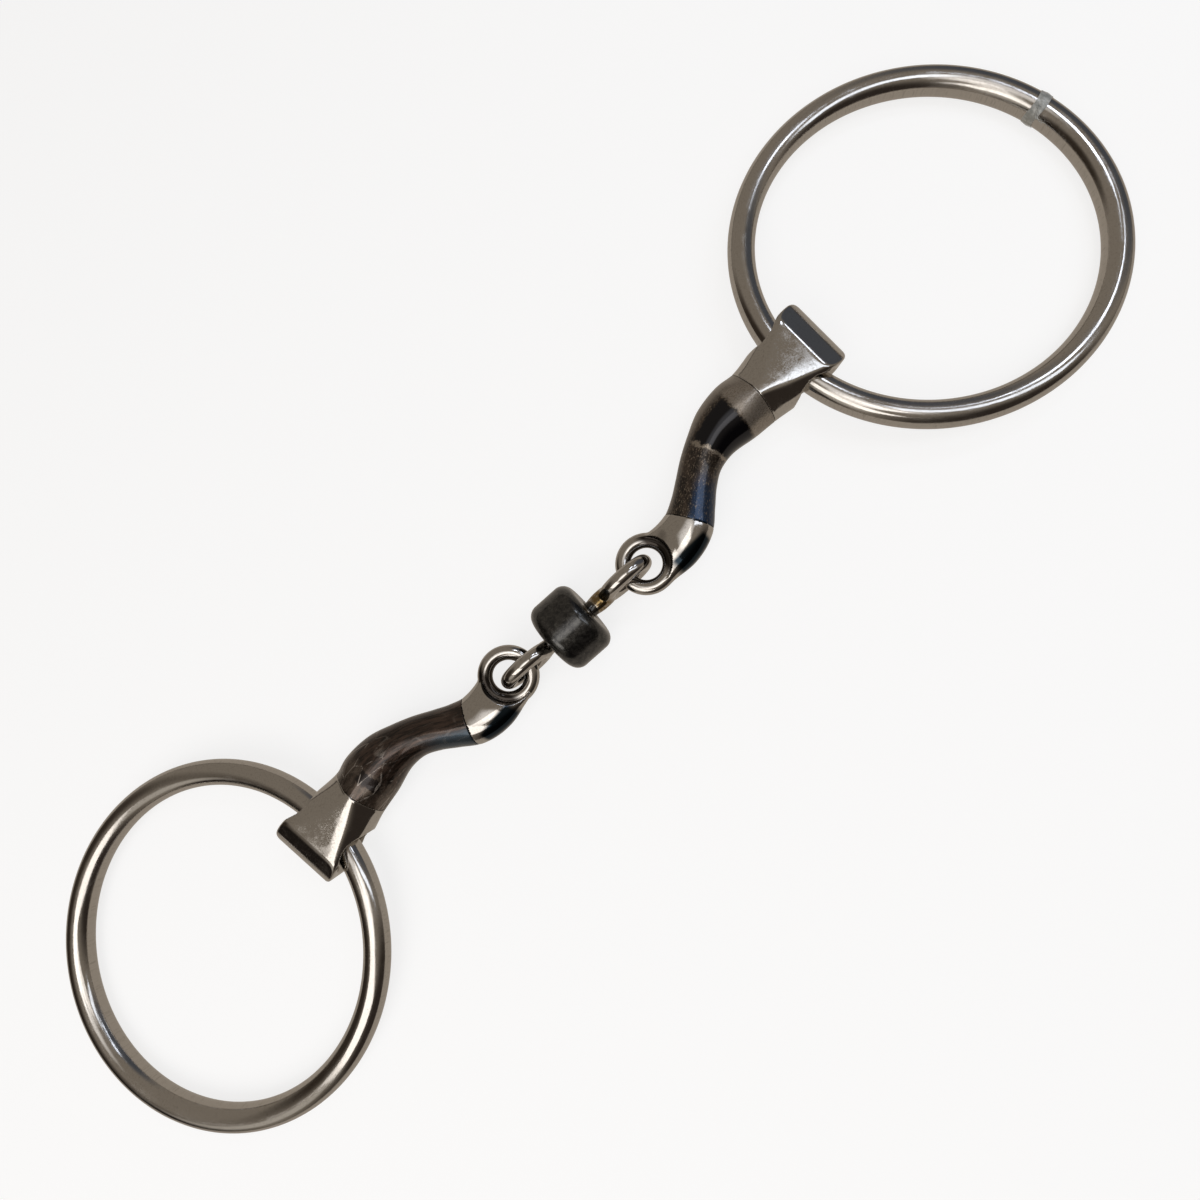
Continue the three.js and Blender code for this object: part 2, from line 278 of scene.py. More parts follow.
def along(column, u):
    """Smooth value of one column of the stations at u."""
    us = BAR_STATIONS[:, 0]
    ys = BAR_STATIONS[:, column]
    i = np.clip(np.searchsorted(us, u, side="right") - 1, 0, len(us) - 2)
    span = us[i + 1] - us[i]
    t = np.clip((u - us[i]) / span, 0, 1)
    m = SLOPES[column]
    return (
        (1 + 2 * t) * (1 - t) ** 2 * ys[i]
        + t * (1 - t) ** 2 * span * m[i]
        + t * t * (3 - 2 * t) * ys[i + 1]
        + t * t * (t - 1) * span * m[i + 1]
    )


def smoothstep(x, low, high):
    t = np.clip((x - low) / (high - low), 0, 1)
    return t * t * (3 - 2 * t)


def turn_at(u):
    """How far the bar's run is turned from the u axis."""
    slope = (along(1, u + 0.05) - along(1, u - 0.05)) / 0.1
    return np.arctan(slope) * smoothstep(u, *TURN_START)


def roll_at(u, roll):
    """How far the section is rolled about the bar's run: fully at the butt, not at all at the eye."""
    return roll * (1 - smoothstep(u, *ROLL_FADE))


def flank_reach(u):
    """Distance of the tapering flank's plane from the section's middle."""
    places, widths = zip(*FLANK_STATIONS)
    crease = np.interp(u, places, widths)
    return crease * math.sin(FLANK_TILT) + BUTT_FLAT_HALF_HEIGHT * math.cos(FLANK_TILT)


def flat_limit(u):
    """Half height of the butt's flats, which fade out along the sleeve."""
    return BUTT_FLAT_HALF_HEIGHT + FLAT_RISE * smoothstep(u, *FLAT_RISE_ENDS)


def skin(u, v, t, roll, inset=0.0):
    """Distance to the bar's outer skin, negative inside, with the skin moved in by the inset."""
    q = u.copy()
    for _ in range(PLACE_ROUNDS):
        turn = turn_at(q)
        q = q + ((u - q) * np.cos(turn) + (v - along(1, q)) * np.sin(turn)) * PLACE_SHARE
    turn = turn_at(q)
    across = (v - along(1, q)) * np.cos(turn) - (u - q) * np.sin(turn)
    rolled = roll_at(q, roll)
    s = np.abs(across * np.cos(rolled) + t * np.sin(rolled))
    h = np.abs(t * np.cos(rolled) - across * np.sin(rolled))
    half_width = np.maximum(along(2, q) / 2 - inset, THINNEST)
    half_height = np.maximum(along(3, q) / 2 - inset, THINNEST)
    p = along(4, q)
    x = s / half_width + 1e-6
    y = h / half_height + 1e-6
    whole = (x ** p + y ** p) ** (1 / p)
    slope_x = whole ** (1 - p) * x ** (p - 1) / half_width
    slope_y = whole ** (1 - p) * y ** (p - 1) / half_height
    shape = (whole - 1) / np.maximum(np.hypot(slope_x, slope_y), 0.5 / half_width)
    shape = soft_max(shape, h - flat_limit(q) + inset, FLAT_ROUNDING)
    flank = s * math.sin(FLANK_TILT) + h * math.cos(FLANK_TILT) - flank_reach(q) + inset
    shape = soft_max(shape, flank, FLANK_ROUNDING)
    nose = (NOSE_START - q) * math.sin(NOSE_TILT) + (h - BUTT_FLAT_HALF_HEIGHT) * math.cos(NOSE_TILT)
    shape = soft_max(shape, nose, NOSE_ROUNDING)
    return soft_max(shape, BUTT_END - u, BUTT_EDGE)


def bore(u, v, t, roll):
    """The hole for the ring, which flares along the bar towards its mouths."""
    side = v * math.cos(roll) + t * math.sin(roll)
    up = t * math.cos(roll) - v * math.sin(roll)
    start = BAR_STATIONS[0, 2] / 2 - BORE_MOUTH_DEPTH
    flare = np.clip((np.abs(side) - start) / BORE_MOUTH_DEPTH, 0, FLARE_LIMIT)
    return np.hypot(u, up) - BORE_RADIUS - (BORE_MOUTH_RADIUS - BORE_RADIUS) * flare ** 2


def past_plane(u, v, place):
    """Distance past the bar's section plane at a place along it."""
    centre = float(along(1, place))
    turn = float(turn_at(np.array([place]))[0])
    return (u - place) * math.cos(turn) + (v - centre) * math.sin(turn)


def eye_frame(u, v, t, twist):
    """Distance from the eye's axis, and height over its middle plane, for an eye turned about u."""
    across = (v - EYE_V) * math.cos(twist) + t * math.sin(twist)
    up = t * math.cos(twist) - (v - EYE_V) * math.sin(twist)
    return np.hypot(u - EYE_U, across), up


def bar_field(roll, twist):
    def field(points):
        u, v, t = points.T
        body = skin(u, v, t, roll)
        core = skin(u, v, t, roll, SLEEVE_WALL + FIT_GAP)
        collar = np.maximum(-past_plane(u, v, SLEEVE_START), past_plane(u, v, SLEEVE_END))
        solid = np.minimum(soft_max(body, -collar, SHOULDER_ROUNDING), core)
        solid = soft_max(solid, -bore(u, v, t, roll), HOLE_ROUNDING)
        reach, up = eye_frame(u, v, t, twist)
        solid = soft_max(solid, EYE_SEAT_RADIUS - reach, SEAT_ROUNDING)
        solid = soft_max(solid, u - EYE_U, NECK_ROUNDING)
        rim = np.hypot((reach - EYE_RADIUS) / EYE_RIM_HALF_WIDTH, up / EYE_RIM_HALF_HEIGHT)
        return soft_min(solid, (rim - 1) * EYE_RIM_HALF_HEIGHT, EYE_FILLET)

    return field


def bar_points_to_frame(points, side):
    """Points in a bar's own frame, in the model's frame."""
    yaw = math.radians(side["yaw"])
    x = -side["sign"] * points[:, 0]
    y = points[:, 1]
    return np.stack([
        x * math.cos(yaw) - y * math.sin(yaw) + side["sign"] * HOLE_OFFSET,
        x * math.sin(yaw) + y * math.cos(yaw) + side["bar_y"],
        points[:, 2] + MOUTH_HEIGHT,
    ], 1)


def field_object(name, field, low, high, voxel, place):
    """A fine mesh of a field's surface. place moves its points into the model's frame."""
    points, quads, normals = field_mesh(field, low, high, voxel)
    moved = place(points)
    made = mesh_object(name, moved, quads, points)
    facing = place(points + normals) - moved
    facing /= np.linalg.norm(facing, axis=1)[:, None]
    made.data.normals_split_custom_set_from_vertices(facing.tolist())
    return made


def make_bar(name):
    side = SIDES[name]
    return field_object(
        name + "_bar_steel",
        bar_field(math.radians(side["roll"]), math.radians(side["eye_twist"])),
        (BUTT_END, -16.5, -7.6),
        (EYE_U + EYE_RADIUS + EYE_RIM_HALF_WIDTH + 0.3, 8.2, 7.6),
        BAR_VOXEL,
        lambda points: bar_points_to_frame(points, side),
    )


def section_ring(place, inset, sides, roll):
    """Points round the bar's skin at one place along it, and their own coordinates for the materials."""
    turn = float(turn_at(np.array([place]))[0])
    rolled = float(roll_at(np.array([place]), roll)[0])
    angle = 2 * np.pi * np.arange(sides) / sides
    power = 2 / float(along(4, place))
    half_width = float(along(2, place)) / 2
    half_height = float(along(3, place)) / 2
    s = np.sign(np.cos(angle)) * np.abs(np.cos(angle)) ** power * half_width
    t = np.sign(np.sin(angle)) * np.abs(np.sin(angle)) ** power * half_height
    flank = np.abs(s) * math.sin(FLANK_TILT) + np.abs(t) * math.cos(FLANK_TILT)
    pull = -soft_min(-np.ones(sides), -flank / float(flank_reach(place)), 0.06)
    s = s / pull * (1 - inset / half_width)
    t = t / pull * (1 - inset / half_height)
    side = s * math.cos(rolled) - t * math.sin(rolled)
    up = t * math.cos(rolled) + s * math.sin(rolled)
    middle = float(along(1, place))
    points = np.stack([place - side * math.sin(turn), middle + side * math.cos(turn), up], 1)
    return points, np.stack([np.full(sides, place), side, up], 1)


def make_sleeve(name):
    """The tube round the bar's middle: outer skin, rounded lips at both ends, and inner wall."""
    side = SIDES[name]
    start = SLEEVE_START + SEAM
    end = SLEEVE_END - SEAM
    rings = [(start + SLEEVE_LIP * (1 - math.cos(a)), SLEEVE_LIP * (1 - math.sin(a)))
             for a in np.linspace(0, np.pi / 2, 6)]
    rings += [(p, 0.0) for p in np.linspace(start + SLEEVE_LIP, end - SLEEVE_LIP, SLEEVE_STEPS)[1:-1]]
    rings += [(end - SLEEVE_LIP * (1 - math.cos(a)), SLEEVE_LIP * (1 - math.sin(a)))
              for a in np.linspace(np.pi / 2, 0, 6)]
    rings += [(p, SLEEVE_WALL) for p in np.linspace(end, start, SLEEVE_STEPS // 3)]
    roll = math.radians(side["roll"])
    sections = [section_ring(p, inset, SLEEVE_SIDES, roll) for p, inset in rings]
    points = np.concatenate([section[0] for section in sections])
    places = np.concatenate([section[1] for section in sections])
    faces = np.array(tube_faces(len(rings), SLEEVE_SIDES, closed=True))
    return mesh_object(name + "_sleeve_iron", bar_points_to_frame(points, side), faces, places)


# --- rings, link and roller -----------------------------------------------------------------

def ring_pose(name):
    """Middle, radius and lean of a ring, from its CAD node's box, in millimetres."""
    low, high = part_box(name + "_ring")
    middle = (low + high) / 2 / MM
    radius = (high.y - low.y) / 2 / MM - RING_WIRE_RADIUS
    rise = (high.z - low.z) / MM - 2 * RING_WIRE_RADIUS
    lean = math.asin(rise / (2 * radius)) * SIDES[name]["sign"]
    return middle, radius, lean


def make_ring(name):
    middle, radius, lean = ring_pose(name)
    around = 2 * np.pi * np.arange(RING_STEPS) / RING_STEPS
    tube = 2 * np.pi * np.arange(RING_SIDES) / RING_SIDES
    a, b = (x.ravel() for x in np.meshgrid(around, tube, indexing="ij"))
    reach = radius + RING_WIRE_RADIUS * np.cos(b)
    flat = np.stack([reach * np.cos(a), reach * np.sin(a), RING_WIRE_RADIUS * np.sin(b)], 1)
    places = np.stack([radius * np.cos(a), radius * np.sin(a), reach - radius], 1)
    return mesh_object(name + "_ring_wire", lean_points(flat, lean, middle),
                       tube_faces(RING_STEPS, RING_SIDES, True), places)


def make_film():
    """A scrap of clear film wound over the right ring's wire, with three drawn-out strands."""
    middle, radius, lean = ring_pose("right")
    across = np.linspace(0, 1, 13)
    tube = np.linspace(*FILM_WRAP, 41)
    a, b = np.meshgrid(across, tube, indexing="ij")
    wave = 0.12 * np.sin(3 * b + 5 * a) * np.sin(np.pi * a)
    around = FILM_ANGLE + (a - 0.5 + 0.10 * np.sin(2.3 * b)) * FILM_WIDTH / radius
    layers = []
    for lift in (FILM_GAP, FILM_GAP + FILM_THICKNESS):
        reach = RING_WIRE_RADIUS + lift + np.abs(wave)
        out = radius + reach * np.cos(b)
        layers.append(np.stack([out * np.cos(around), out * np.sin(around), reach * np.sin(b)], -1))
    # Rows run once round the band's own section: out along the upper layer and back along the lower.
    loop = np.concatenate([layers[1], layers[0][::-1]], 0).transpose(1, 0, 2)
    rows, sides = loop.shape[:2]
    points = [loop.reshape(-1, 3)]
    faces = tube_faces(rows, sides)
    faces += [(k, k + 1, sides - 2 - k, sides - 1 - k) for k in range(len(across) - 1)]
    last = (rows - 1) * sides
    faces += [(last + k + 1, last + k, last + sides - 1 - k, last + sides - 2 - k)
              for k in range(len(across) - 1)]
    count = rows * sides
    for start, length, drop in FILM_STRANDS:
        strand, strand_faces = film_strand(radius, start, length, drop)
        points.append(strand)
        faces += [tuple(i + count for i in face) for face in strand_faces]
        count += len(strand)
    points = np.concatenate(points)
    return mesh_object("clear_film_scrap", lean_points(points, lean, middle), faces, points)


def film_strand(radius, start, length, drop):
    """One tapering strand, from the band's edge along the wire's upper side, then off it inwards."""
    steps = 14
    sides = 6
    t = np.linspace(0, 1, steps)
    around = FILM_ANGLE + (start - 0.6) * 0.5 * FILM_WIDTH / radius - t * length * 2.6 / radius
    tube = math.radians(120) + t * 0.9 + 0.3 * np.sin(5 * t)
    reach = RING_WIRE_RADIUS + 0.25 + 1.1 * t ** 2
    out = radius + reach * np.cos(tube) + 0.2 * drop * t
    spine = np.stack([out * np.cos(around), out * np.sin(around), reach * np.sin(tube)], 1)
    heading = np.gradient(spine, axis=0)
    heading /= np.linalg.norm(heading, axis=1)[:, None]
    side = np.cross(heading, (0, 0, 1))
    side /= np.linalg.norm(side, axis=1)[:, None]
    up = np.cross(side, heading)
    turn = 2 * np.pi * np.arange(sides) / sides
    size = FILM_STRAND_RADIUS * (1 - 0.8 * t)[:, None, None]
    around_spine = side[:, None] * np.cos(turn)[:, None] + up[:, None] * np.sin(turn)[:, None]
    wall = spine[:, None] + size * around_spine
    faces = tube_faces(steps, sides)
    faces += [(0, k + 1, k, k) for k in range(1, sides - 1)]
    last = (steps - 1) * sides
    faces += [(last, last + k, last + k + 1, last + k + 1) for k in range(1, sides - 1)]
    return wall.reshape(-1, 3), faces


def lean_points(points, lean, middle):
    x = points[:, 0] * math.cos(lean) + points[:, 2] * math.sin(lean)
    z = points[:, 2] * math.cos(lean) - points[:, 0] * math.sin(lean)
    return np.stack([x + middle.x, points[:, 1] + middle.y, z + middle.z], 1)


def link_points_to_frame(points, height):
    yaw = math.radians(LINK_YAW)
    return np.stack([
        points[:, 0] * math.cos(yaw) - points[:, 1] * math.sin(yaw) + LINK_MIDDLE[0],
        points[:, 0] * math.sin(yaw) + points[:, 1] * math.cos(yaw) + LINK_MIDDLE[1],
        points[:, 2] + height,
    ], 1)


def link_field(points):
    """A straight wire with an upright oval loop at each end, and a lump of weld beside the roller."""
    x, y, z = points.T
    loop_x = LINK_LENGTH / 2 - LINK_WIRE_RADIUS - LINK_LOOP_HALF_LENGTH
    shaft_end = loop_x - LINK_LOOP_HALF_LENGTH
    past = np.maximum(np.abs(x) - shaft_end, 0)
    shaft = np.sqrt(y ** 2 + z ** 2 + past ** 2) - LINK_WIRE_RADIUS
    turn = np.arctan2(z / LINK_LOOP_HALF_HEIGHT, (np.abs(x) - loop_x) / LINK_LOOP_HALF_LENGTH)
    for _ in range(4):
        ox = LINK_LOOP_HALF_LENGTH * np.cos(turn)
        oz = LINK_LOOP_HALF_HEIGHT * np.sin(turn)
        tx = -LINK_LOOP_HALF_LENGTH * np.sin(turn)
        tz = LINK_LOOP_HALF_HEIGHT * np.cos(turn)
        gap = (np.abs(x) - loop_x - ox) * tx + (z - oz) * tz
        turn = turn + gap / (tx ** 2 + tz ** 2)
    ox = LINK_LOOP_HALF_LENGTH * np.cos(turn) + loop_x
    oz = LINK_LOOP_HALF_HEIGHT * np.sin(turn)
    loop = np.sqrt((np.abs(x) - ox) ** 2 + (z - oz) ** 2 + y ** 2) - LINK_WIRE_RADIUS
    weld = np.sqrt(((x - shaft_end + WELD_SHIFT) / WELD_STRETCH) ** 2 + y ** 2 + z ** 2) - WELD_RADIUS
    return soft_min(soft_min(shaft, loop, LOOP_FILLET), weld, WELD_FILLET)


def make_link():
    half = LINK_LENGTH / 2
    return field_object(
        "link_wire", link_field, (-half, -2.3, -5.3), (half, 2.3, 5.3), LINK_VOXEL,
        lambda points: link_points_to_frame(points, LINK_HEIGHT),
    )


def make_roller():
    half = ROLLER_LENGTH / 2
    corner = [(ROLLER_RADIUS - ROLLER_CORNER * (1 - math.sin(a)), half - ROLLER_CORNER * (1 - math.cos(a)))
              for a in np.linspace(0, np.pi / 2, 14)]
    lip = [(ROLLER_BORE_RADIUS, half - 0.35), (ROLLER_BORE_RADIUS + 0.1, half - 0.1),
           (ROLLER_BORE_RADIUS + 0.35, half)]
    side = lip + corner + [(ROLLER_RADIUS, half * f) for f in (0.4, 0.25, 0.1)]
    profile = side + [(r, -x) for r, x in reversed(side)]
    profile += [(ROLLER_BORE_RADIUS, x) for x in np.linspace(-half + 0.6, half - 0.6, 6)]
    angle = 2 * np.pi * np.arange(ROLLER_SIDES) / ROLLER_SIDES
    points = np.concatenate([
        np.stack([np.full(ROLLER_SIDES, x + ROLLER_SHIFT), r * np.cos(angle), r * np.sin(angle)], 1)
        for r, x in profile
    ])
    faces = np.array(tube_faces(len(profile), ROLLER_SIDES, True))
    return mesh_object("roller_barrel", link_points_to_frame(points, ROLLER_RADIUS), faces, points)


# --- materials ------------------------------------------------------------------------------

class Nodes:
    """Short names for the shader nodes that the materials here are made of."""

    def __init__(self, tree):
        self.tree = tree

    def add(self, kind, **settings):
        node = self.tree.nodes.new("ShaderNode" + kind)
        for name, value in settings.items():
            setattr(node, name, value)
        return node

    def feed(self, socket, value):
        if isinstance(value, bpy.types.NodeSocket):
            self.tree.links.new(value, socket)
        else:
            socket.default_value = value

    def place(self, stretch=(1, 1, 1)):
        """The point's own coordinates on its piece, in millimetres."""
        source = self.add("Attribute", attribute_name="place").outputs["Vector"]
        scaled = self.add("VectorMath", operation="MULTIPLY")
        self.feed(scaled.inputs[0], source)
        scaled.inputs[1].default_value = stretch
        return scaled.outputs[0]

    def part(self, vector, axis):
        return self.feed_one("SeparateXYZ", vector).outputs[axis]

    def feed_one(self, kind, value):
        node = self.add(kind)
        self.feed(node.inputs[0], value)
        return node

    def noise(self, vector, scale, detail=4.0, roughness=0.55, distortion=0.0):
        node = self.add("TexNoise")
        self.feed(node.inputs["Vector"], vector)
        node.inputs["Scale"].default_value = scale
        node.inputs["Detail"].default_value = detail
        node.inputs["Roughness"].default_value = roughness
        node.inputs["Distortion"].default_value = distortion
        return node.outputs["Fac"]

    def between(self, value, low, high, to_low=0.0, to_high=1.0):
        """Maps low..high smoothly onto to_low..to_high."""
        node = self.add("MapRange", interpolation_type="SMOOTHSTEP")
        for socket, number in zip(node.inputs, (value, low, high, to_low, to_high)):
            self.feed(socket, number)
        return node.outputs[0]

    def math(self, operation, a, b=0.0):
        node = self.add("Math", operation=operation)
        self.feed(node.inputs[0], a)
        self.feed(node.inputs[1], b)
        return node.outputs[0]

    def mix(self, factor, a, b):
        node = self.add("Mix", data_type="RGBA")
        self.feed(node.inputs["Factor"], factor)
        self.feed(node.inputs[6], a if isinstance(a, bpy.types.NodeSocket) else (*a, 1))
        self.feed(node.inputs[7], b if isinstance(b, bpy.types.NodeSocket) else (*b, 1))
        return node.outputs[2]

    def bump(self, height, strength, distance):
        node = self.add("Bump")
        node.inputs["Strength"].default_value = strength
        node.inputs["Distance"].default_value = distance * MM
        self.feed(node.inputs["Height"], height)
        return node.outputs[0]


def new_material(name, metallic=0.0, **constants):
    """A material, its Principled shader and its node helper. Constants go on the shader's own sockets."""
    material = bpy.data.materials.new(name)
    material.use_nodes = True
    shader = material.node_tree.nodes["Principled BSDF"]
    shader.inputs["Metallic"].default_value = metallic
    for socket, value in constants.items():
        shader.inputs[socket.replace("_", " ")].default_value = value
    return material, shader.inputs, Nodes(material.node_tree)


STEEL = (0.55, 0.525, 0.49)
STEEL_DULL = (0.42, 0.395, 0.36)
# Near-black painted shade for the eye's hole wall and the neck side of its seat
EYE_PAINTED_SHADE = (0.035, 0.03, 0.026)


def ring_material():
    """Drawn wire: fine lines along the wire, faint dull patches."""
    material, inputs, n = new_material("ring_steel", 1.0)
    streak = n.noise(n.place((0.12, 0.12, 1.0)), 5.0, 4.0, 0.6)
    patch = n.noise(n.place(), 0.11, 3.0)
    grain = n.noise(n.place(), 3.5, 4.0, 0.7)
    n.feed(inputs["Base Color"], n.mix(n.between(grain, 0.5, 0.72), STEEL, STEEL_DULL))
    dull = n.math("MULTIPLY", n.between(patch, 0.42, 0.65), 0.09)
    n.feed(inputs["Roughness"], n.math("ADD", n.between(streak, 0.35, 0.7, 0.07, 0.16), dull))
    n.feed(inputs["Normal"], n.bump(n.math("ADD", streak, n.math("MULTIPLY", grain, 0.3)), 0.10, 0.03))
    return material


def bar_material():
    """Hand-polished steel with faint waves and rub marks, painted shade in the eye and its seat, and a blued
    strip on the neck.
    """
    material, inputs, n = new_material("bar_steel", 1.0)
    wave = n.noise(n.place(), 0.22, 1.0)
    rub = n.noise(n.place(), 2.4, 6.0, 0.7, 0.4)
    patch = n.noise(n.place(), 0.35, 3.0)
    steel = n.mix(n.between(rub, 0.44, 0.78), STEEL, STEEL_DULL)
    off_eye = n.add("VectorMath", operation="SUBTRACT")
    n.feed(off_eye.inputs[0], n.place((1, 1, 0)))
    off_eye.inputs[1].default_value = (EYE_U, EYE_V, 0)
    reach = n.add("VectorMath", operation="LENGTH")
    n.feed(reach.inputs[0], off_eye.outputs[0])
    reach = reach.outputs["Value"]
    # Painted shade: the neck side of the eye's seat is darkened towards black
    seat_shade = n.math("MULTIPLY", n.between(reach, 3.3, 3.7), n.between(reach, 5.35, 5.2))
    seat_shade = n.math("MULTIPLY", seat_shade, n.between(n.part(n.place(), 0), EYE_U - 1.0, EYE_U - 3.0))
    # Painted shade: the eye's hole wall is darkened towards black
    inner = n.between(reach, 4.3, 3.7, 0.0, 0.75)
    along_u = n.part(n.place(), 0)
    blued = n.math("MULTIPLY", n.between(along_u, 34.5, 35.5), n.between(along_u, 44.5, 42.5))
    blued = n.math("MULTIPLY", blued, n.between(n.part(n.place(), 1), -12.5, -13.3))
    steel = n.mix(blued, steel, (0.02, 0.03, 0.04))
    n.feed(inputs["Base Color"], n.mix(n.math("MAXIMUM", seat_shade, inner), steel, EYE_PAINTED_SHADE))
    shine = n.math("ADD", n.between(rub, 0.4, 0.75, 0.05, 0.2), n.between(patch, 0.45, 0.7, 0.0, 0.08))
    n.feed(inputs["Roughness"], shine)
    height = n.math("ADD", wave, n.math("MULTIPLY", rub, 0.06))
    n.feed(inputs["Normal"], n.bump(height, 0.25, 0.1))
    return material


def link_material():
    """Bright wire with a straw-brown heat tint on the weld beside the roller."""
    material, inputs, n = new_material("link_steel", 1.0)
    x = n.part(n.place(), 0)
    rub = n.noise(n.place(), 1.5, 4.0)
    straw = n.math("MULTIPLY", n.between(x, 4.2, 5.6), n.between(x, 9.2, 7.0))
    tint = n.math("MULTIPLY", straw, n.between(rub, 0.3, 0.55, 0.4, 1.0))
    steel = n.mix(n.between(rub, 0.45, 0.75), STEEL, STEEL_DULL)
    n.feed(inputs["Base Color"], n.mix(tint, steel, (0.24, 0.165, 0.07)))
    n.feed(inputs["Roughness"], n.between(rub, 0.35, 0.75, 0.05, 0.18))
    n.feed(inputs["Normal"], n.bump(n.noise(n.place(), 0.5, 2.0), 0.25, 0.12))
    return material


def sleeve_base(name):
    """What both sleeves share: a glossy lacquered look over iron, and coordinates with ragged borders."""
    material, inputs, n = new_material(name, 0.7, Coat_Weight=0.45, Coat_Roughness=0.06)
    cloud = n.noise(n.place((0.5, 1, 1)), 0.8, 6.0, 0.7, 0.5)
    speck = n.noise(n.place((0.7, 1, 1)), 3.6, 6.0, 0.75)
    ragged = n.noise(n.place(), 0.9, 5.0, 0.7)
    along_u = n.math("ADD", n.part(n.place(), 0), n.math("MULTIPLY", ragged, 2.6))
    side = n.math("ADD", n.part(n.place(), 1), n.math("MULTIPLY", ragged, 2.0))
    return material, inputs, n, cloud, speck, along_u, side


def left_sleeve_material():
    """Dark brown iron with long scratches, blued at the eye's end, and wrinkled film at the butt's end."""
    material, inputs, n, cloud, speck, along_u, side = sleeve_base("left_sleeve_iron")
    grain = n.noise(n.place((0.16, 1.2, 1.2)), 1.5, 6.0, 0.7)
    brown = n.mix(n.between(grain, 0.36, 0.66), (0.012, 0.008, 0.006), (0.085, 0.054, 0.040))
    brown = n.mix(n.between(speck, 0.6, 0.8, 0.0, 0.6), brown, (0.2, 0.15, 0.12))
    blue = n.math("MULTIPLY", n.between(along_u, 27.0, 33.0), n.between(side, 0.4, -1.2))
    colour = n.mix(blue, brown, (0.035, 0.055, 0.075))
    film = n.math("MULTIPLY", n.between(along_u, 17.8, 16.8), n.between(along_u, 11.0, 11.4))
    film = n.math("MULTIPLY", film, n.between(cloud, 0.45, 0.6, 0.3, 0.9))
    colour = n.mix(film, colour, (0.15, 0.12, 0.095))
    spot = n.math("MULTIPLY", n.between(along_u, 14.0, 14.5), n.between(along_u, 17.0, 16.6))
    spot_sides = n.math("MULTIPLY", n.between(side, 1.8, 1.2), n.between(side, -3.6, -3.0))
    spot = n.math("MULTIPLY", spot, spot_sides)
    colour = n.mix(spot, colour, (0.014, 0.009, 0.008))
    wrinkle = n.add("TexVoronoi", feature="DISTANCE_TO_EDGE")
    n.feed(wrinkle.inputs["Vector"], n.place((0.45, 1, 1)))
    wrinkle.inputs["Scale"].default_value = 0.32
    crease = n.between(wrinkle.outputs["Distance"], 0.035, 0.008)
    crease = n.math("MULTIPLY", crease, n.between(along_u, 26.0, 15.0, 0.1, 0.8))
    crease = n.math("MULTIPLY", crease, n.between(cloud, 0.42, 0.55))
    n.feed(inputs["Base Color"], n.mix(crease, colour, (0.42, 0.38, 0.34)))
    n.feed(inputs["Roughness"], n.between(cloud, 0.3, 0.7, 0.16, 0.34))
    height = n.math("ADD", grain, n.math("MULTIPLY", crease, 0.8))
    n.feed(inputs["Normal"], n.bump(height, 0.2, 0.09))
    return material


def right_sleeve_material():
    """Brown speckled iron, blued on one side, with clear film over it and a glossy black gap in the film."""
    material, inputs, n, cloud, speck, along_u, side = sleeve_base("right_sleeve_iron")
    brown = n.mix(n.between(cloud, 0.36, 0.66), (0.014, 0.011, 0.009), (0.075, 0.055, 0.040))
    brown = n.mix(n.between(speck, 0.53, 0.63), brown, (0.29, 0.235, 0.175))
    blue = n.math("MULTIPLY", n.between(along_u, 28.0, 33.0), n.between(side, 1.8, 0.2))
    blue = n.math("MULTIPLY", blue, n.between(speck, 0.66, 0.54))
    colour = n.mix(blue, brown, (0.008, 0.03, 0.075))
    film = n.math("MULTIPLY", n.between(along_u, 16.6, 15.8), n.between(speck, 0.62, 0.48, 0.25, 1.0))
    colour = n.mix(film, colour, (0.33, 0.29, 0.245))
    edge_strip = n.math("MULTIPLY", n.between(side, 3.8, 5.2), n.between(along_u, 28.0, 20.0, 0.25, 0.8))
    colour = n.mix(edge_strip, colour, (0.25, 0.22, 0.185))
    gap = n.math("MULTIPLY", n.between(along_u, 16.5, 16.9), n.between(along_u, 25.1, 24.7))
    gap = n.math("MULTIPLY", gap, n.between(side, 3.9, 3.3))
    colour = n.mix(n.math("MULTIPLY", gap, n.between(speck, 0.74, 0.66)), colour, (0.003, 0.003, 0.006))
    rim = n.math("MULTIPLY", n.between(along_u, 24.6, 24.9), n.between(along_u, 25.6, 25.2))
    rim = n.math("MULTIPLY", rim, n.between(side, 4.2, 3.4))
    n.feed(inputs["Base Color"], n.mix(n.math("MULTIPLY", rim, 0.7), colour, (0.42, 0.36, 0.29)))
    n.feed(inputs["Roughness"], n.between(gap, 0.0, 1.0, 0.27, 0.1))
    height = n.math("ADD", cloud, n.math("MULTIPLY", speck, 0.5))
    height = n.math("MULTIPLY", height, n.between(gap, 0.0, 1.0, 1.0, 0.25))
    n.feed(inputs["Normal"], n.bump(height, 0.22, 0.1))
    return material


def roller_material():
    """Charcoal iron, glossy from wear, with small pale rub marks."""
    material, inputs, n = new_material("roller_iron", 0.9, Coat_Weight=0.25, Coat_Roughness=0.08)
    mottle = n.noise(n.place(), 1.1, 6.0, 0.7, 0.5)
    speck = n.noise(n.place((0.6, 1, 1)), 3.4, 6.0, 0.78)
    dark = n.mix(n.between(mottle, 0.35, 0.7), (0.035, 0.035, 0.035), (0.10, 0.098, 0.092))
    n.feed(inputs["Base Color"], n.mix(n.between(speck, 0.56, 0.74), dark, (0.24, 0.235, 0.22)))
    n.feed(inputs["Roughness"], n.between(mottle, 0.3, 0.7, 0.14, 0.28))
    n.feed(inputs["Normal"], n.bump(n.math("ADD", mottle, n.math("MULTIPLY", speck, 0.4)), 0.16, 0.07))
    return material


